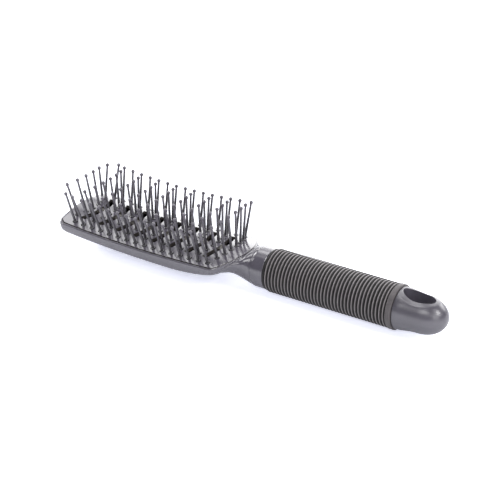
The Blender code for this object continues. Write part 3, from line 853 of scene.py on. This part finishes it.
for side, row in zip(("near", "far"), side_rows):
    y = row[0][1]
    first = column_x(0.5, y) - SIDE_BAR_END
    last = column_x(8.0, y) + SIDE_BAR_END
    edges = []
    for k in range(17):
        x = first + (last - first) * k / 16
        edges.append(((x, y - SIDE_BAR_WIDTH / 2), (x, y + SIDE_BAR_WIDTH / 2)))
    pin_strip("pins_along_" + side, edges, row, "side_pin_strip_" + side)
bpy.data.objects.remove(pin_shape, do_unlink=True)


# The grip sleeve.
# A soft rubber tube pushed over the handle: thirty-six close round ribs between a thin lip at the neck and a plain
# band at the cap. The rib tops are painted paler as a painted highlight, and the grooves darker as painted shade.

BAND_START_X = GRIP_END_X - 0.0032
# Painted highlight on the rib crests above this radius, fading in over this depth; the plain band takes a set
# share of it.
SHEEN_RADIUS = 0.01238
SHEEN_DEPTH = 0.00037
BAND_SHEEN_SHARE = 0.58
RUBBER = (0.066, 0.060, 0.063)


def sleeve_tree():
    """A grid rolled into a tube, whose radius along the tube follows the lip, the ribs, the band and the bore."""
    tree = bpy.data.node_groups.new("ribbed_sleeve", "GeometryNodeTree")
    given = tree_inputs(tree, [
        ("Geometry", "NodeSocketGeometry", None),
        ("Start", "NodeSocketFloat", GRIP_START_X),
        ("Length", "NodeSocketFloat", 0.0818),
        ("Ribs", "NodeSocketFloat", 36.0),
        ("Rib radius", "NodeSocketFloat", 0.01275),
        ("Groove depth", "NodeSocketFloat", 0.00095),
        ("Lip", "NodeSocketFloat", 0.0014),
        ("Lip radius", "NodeSocketFloat", 0.0122),
        ("Band", "NodeSocketFloat", 0.0034),
        ("Band radius", "NodeSocketFloat", 0.01295),
        ("Bore radius", "NodeSocketFloat", 0.0107),
        ("Axis height", "NodeSocketFloat", AXIS_HEIGHT),
        ("Material", "NodeSocketMaterial", None)])
    sheet, start, length, ribs, rib_radius, groove = given[:6]
    lip, lip_radius, band, band_radius, bore, height, material = given[6:]
    grid = sheet.node("GeometryNodeMeshGrid", {},
                      {"Size X": 1.0, "Size Y": 1.0, "Vertices X": 760, "Vertices Y": 97})
    place = sheet.node("GeometryNodeInputPosition", {}, {})
    s = coordinate(place, "X") + 0.5
    turn = (coordinate(place, "Y") + 0.5) * math.tau

    # The grid's rows are spent on the outside up to a share of them, and then on the way back through the bore.
    outside_share, row_share, bore_share = 0.994, 0.0013, 0.004
    outside = s < outside_share
    outer = (s > row_share / 2) * outside
    away = ((s - row_share) / (outside_share - 2 * row_share)).clamped()
    back = ((1.0 - s) / bore_share).clamped()
    x = start + length * away * outside + length * back * (1.0 - outside)

    def eased(distance, reach, depth):
        """How far the outside is rolled in at an edge."""
        return (1.0 - (distance / reach).clamped()) ** 2.0 * depth

    from_start = x - start
    to_end = start + length - x
    ribbed = (from_start > lip) * (to_end > band)
    phase = (from_start - lip) / (length - lip - band) * ribs
    wave = phase.maths("ABSOLUTE", (phase * math.pi).maths("SINE", phase * math.pi)) ** 1.15
    rib = rib_radius - groove * (1.0 - wave)
    lip_rolled = lip_radius - eased(from_start, 0.0004, 0.0003) - eased(lip - from_start, 0.0004, 0.0004)
    band_rolled = band_radius - eased(to_end, 0.0004, 0.0004) - eased(band - to_end, 0.0006, 0.0011)
    surface = ribbed * rib + (from_start < lip) * lip_rolled + (to_end < band) * band_rolled
    radius = surface * outer + bore * (1.0 - outer)
    rolled = sheet.node("ShaderNodeCombineXYZ", {}, {
        "X": x,
        "Y": radius * turn.maths("SINE", turn),
        "Z": height + radius * turn.maths("COSINE", turn),
    })
    tube = sheet.node("GeometryNodeSetPosition", {}, {"Geometry": grid, "Position": rolled})
    welded = sheet.node("GeometryNodeMergeByDistance", {}, {"Geometry": tube, "Distance": 0.000004})
    tree_end(tree, welded, material)
    return tree


rubber, start, shader, place = finish("grip_rubber", 0.5)
shader.inputs["Specular IOR Level"].default_value = 0.42
across = coordinate(place, "Y")
above = coordinate(place, "Z") - AXIS_HEIGHT
radial = (across * across + above * above) ** 0.5
crest = ((radial - SHEEN_RADIUS) / SHEEN_DEPTH).clamped() ** 1.5
band = coordinate(place, "X") > BAND_START_X
top = crest * (1.0 - band) + BAND_SHEEN_SHARE * band
dust = noise(place, 260.0, 5.0, 0.7)
fine = noise(place, 1500.0, 2.0)
# Painted light: grooves painted near black as shade and rib crests painted pale as highlight, with dust noise
# through both.
dust_and_painted_sheen = ramp((top * 0.9 + dust * 0.2 - 0.05).clamped(),
              (0.0, toned(RUBBER, 0.20)), (0.45, toned(RUBBER, 0.9)), (1.0, toned(RUBBER, 5.2)))
feed(shader, "Base Color", dust_and_painted_sheen)
feed(shader, "Roughness", 0.52 - 0.12 * top + 0.12 * dust)
feed(shader, "Normal", start.node("ShaderNodeBump", {}, {"Strength": 0.06, "Distance": 0.0003, "Height": fine}))

sleeve = point_cloud("ribbed_grip", [((0, 0, 0), (0, 0, 1), 1.0)])
grown(sleeve, sleeve_tree(), {"Material": rubber})
bm = bmesh.new()
bm.from_mesh(sleeve.data)
bmesh.ops.recalc_face_normals(bm, faces=bm.faces)
bm.to_mesh(sleeve.data)
bm.free()
surfaced(sleeve, rubber, 50.0)
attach(sleeve, "root")
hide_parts("grip_sleeve")


# The end cap.
# A bullet-shaped plug of satin graphite plastic with a spigot pressed into the handle's bore. An oval hang hole
# with an eased edge and a shallow dish around it goes straight through it.

CAP_START_X = 0.09565
CAP_FACE_X = GRIP_END_X + 0.00005
NOSE_START_X = CAP_START_X + 0.0125
CAP_END_X = 0.12345
CAP_RADIUS = 0.0120
NOSE_RADIUS = 0.0111
SPIGOT_START_X = CAP_START_X - 0.0120
SPIGOT_RADIUS = 0.0081
HANG_HOLE_X = 0.10625
HANG_HOLE_LENGTH = 0.0192
HANG_HOLE_WIDTH = 0.0112
DISH_HALF_LENGTH = 0.0119
DISH_HALF_WIDTH = 0.0079
DISH_DEPTH = 0.0004
SATIN_GRAPHITE = (0.088, 0.081, 0.105)

# The radius and the place along of each ring of the cap, from the spigot's end to the tip of the nose.
cap_line = [
    (0.0, SPIGOT_START_X),
    (SPIGOT_RADIUS - 0.0010, SPIGOT_START_X),
    (SPIGOT_RADIUS, SPIGOT_START_X + 0.0010),
    (SPIGOT_RADIUS, CAP_FACE_X),
    (CAP_RADIUS - 0.00025, CAP_FACE_X),
    (CAP_RADIUS - 0.00008, CAP_FACE_X + 0.0001),
    (CAP_RADIUS, CAP_FACE_X + 0.0004),
]
cap_line += smooth_run([
    (0.0119, CAP_START_X + 0.0030),
    (0.01155, CAP_START_X + 0.0065),
    (NOSE_RADIUS, NOSE_START_X),
], 8)
for k in range(1, 25):
    angle = math.pi / 2 * k / 24
    radius = NOSE_RADIUS * math.cos(angle) ** 0.95 if k < 24 else 0.0
    cap_line.append((radius, NOSE_START_X + (CAP_END_X - NOSE_START_X) * math.sin(angle)))
bm = bmesh.new()
verts = [bm.verts.new((x, 0.0, r)) for r, x in cap_line]
for a, b in zip(verts, verts[1:]):
    bm.edges.new((a, b))
bmesh.ops.spin(bm, geom=bm.verts[:] + bm.edges[:], cent=(0, 0, 0), axis=(1, 0, 0), angle=math.tau, steps=120,
               use_merge=True)
bmesh.ops.remove_doubles(bm, verts=bm.verts, dist=1e-6)
for vert in bm.verts:
    away = math.hypot((vert.co.x - HANG_HOLE_X) / DISH_HALF_LENGTH, vert.co.y / DISH_HALF_WIDTH)
    dip = DISH_DEPTH * min(max((1.0 - away) / 0.16, 0.0), 1.0)
    if vert.co.x > CAP_START_X + 0.0005:
        vert.co.z -= math.copysign(dip, vert.co.z)
bmesh.ops.translate(bm, verts=bm.verts, vec=(0, 0, AXIS_HEIGHT))
cap = mesh_object("end_cap_satin", bm)

bm = bmesh.new()
bmesh.ops.create_cone(bm, cap_ends=True, segments=96, radius1=0.5, radius2=0.5, depth=1.0)
bmesh.ops.scale(bm, vec=(HANG_HOLE_LENGTH, HANG_HOLE_WIDTH, 0.040), verts=bm.verts)
bmesh.ops.translate(bm, vec=(HANG_HOLE_X, 0.0, AXIS_HEIGHT), verts=bm.verts)
joined(cap, mesh_object("hang_hole", bm), "DIFFERENCE")
ease = cap.modifiers.new("eased_edge", "BEVEL")
ease.width = 0.0005
ease.segments = 3
ease.limit_method = "ANGLE"
ease.angle_limit = math.radians(40.0)
settled(cap)
surfaced(cap, moulded("graphite_satin", SATIN_GRAPHITE, 0.36), 40.0)
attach(cap, "root")
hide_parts("end_cap")


# The table and the light.
# A plain pale table in a white room. Soft lamps stand behind the brush at the left, low and high, where the face
# and the collar mirror them. Smaller ones at the left, the right and in front light the rims and the cap.

white, start, shader, place = finish("pale_table", 0.6)
shader.inputs["Base Color"].default_value = (0.90, 0.91, 0.93, 1.0)
shader.inputs["Specular IOR Level"].default_value = 0.2
shader.inputs["Emission Strength"].default_value = 0.76
plainly, mirrored, through = [start.node("ShaderNodeLightPath", {}, {}, out="Is %s Ray" % kind)
                              for kind in ("Camera", "Glossy", "Transmission")]
shown = (plainly + 0.36 * (mirrored + through)).clamped()
feed(shader, "Emission Color", ramp(shown, (0.0, (0.0, 0.0, 0.0)), (1.0, (0.84, 0.86, 1.0))))
bm = bmesh.new()
bmesh.ops.create_grid(bm, x_segments=1, y_segments=1, size=3.0)
bmesh.ops.translate(bm, vec=(0.0, 0.0, -0.0001), verts=bm.verts)
table = mesh_object("table", bm)
if table.data.polygons[0].normal.z < 0:
    table.data.flip_normals()
table.data.materials.append(white)

world = bpy.data.worlds.new("studio")
world.use_nodes = True
bpy.context.scene.world = world
sky = world.node_tree.nodes["Background"]
sky.inputs["Color"].default_value = (0.96, 0.98, 1.0, 1.0)
seen = Socket(world.node_tree).node("ShaderNodeLightPath", {}, {}, out="Is Camera Ray")
feed(sky, "Strength", 0.14 + 0.91 * seen)


def lamp(name, turn, height, distance, wide, tall, radiance):
    """A soft rectangular lamp, placed by the direction in which the brush sees it and the angles it fills."""
    turn, height = math.radians(turn), math.radians(height)
    level = math.cos(height)
    towards = Vector((math.cos(turn) * level, math.sin(turn) * level, math.sin(height)))
    light = bpy.data.lights.new(name, "AREA")
    light.shape = "RECTANGLE"
    light.size = 2 * distance * math.tan(math.radians(wide / 2))
    light.size_y = 2 * distance * math.tan(math.radians(tall / 2))
    light.energy = radiance * math.pi * light.size * light.size_y
    made = bpy.data.objects.new(name, light)
    made.location = towards * distance
    made.rotation_euler = towards.to_track_quat("Z", "Y").to_euler()
    bpy.context.scene.collection.objects.link(made)


lamp("low_left_lamp", 143.0, 13.0, 2.0, 14.0, 26.0, 4.5)
lamp("low_wide_lamp", 110.0, 11.0, 2.0, 42.0, 22.0, 3.5)
lamp("middle_lamp", 130.0, 32.0, 2.0, 26.0, 13.0, 2.4)
lamp("behind_lamp", 136.0, 52.5, 2.0, 24.0, 17.0, 3.4)
lamp("far_lamp", 68.0, 24.0, 1.6, 34.0, 24.0, 4.6)
lamp("left_lamp", 168.0, 26.0, 1.4, 16.0, 26.0, 9.0)
lamp("overhead_lamp", 140.0, 70.0, 1.6, 60.0, 16.0, 0.9)
lamp("toe_lamp", 204.0, 30.0, 0.55, 12.0, 12.0, 9.0)
lamp("high_left_lamp", 215.0, 76.0, 1.3, 24.0, 12.0, 4.5)
lamp("rim_lamp", 98.0, 48.0, 1.6, 14.0, 34.0, 4.5)
lamp("front_lamp", 281.0, 42.0, 1.4, 26.0, 16.0, 4.8)
lamp("right_lamp", 330.0, 20.0, 1.5, 26.0, 26.0, 2.3)
lamp("cap_lamp", 357.0, 38.0, 1.3, 15.0, 15.0, 13.8)

view = bpy.context.scene.view_settings
view.view_transform = "Standard"
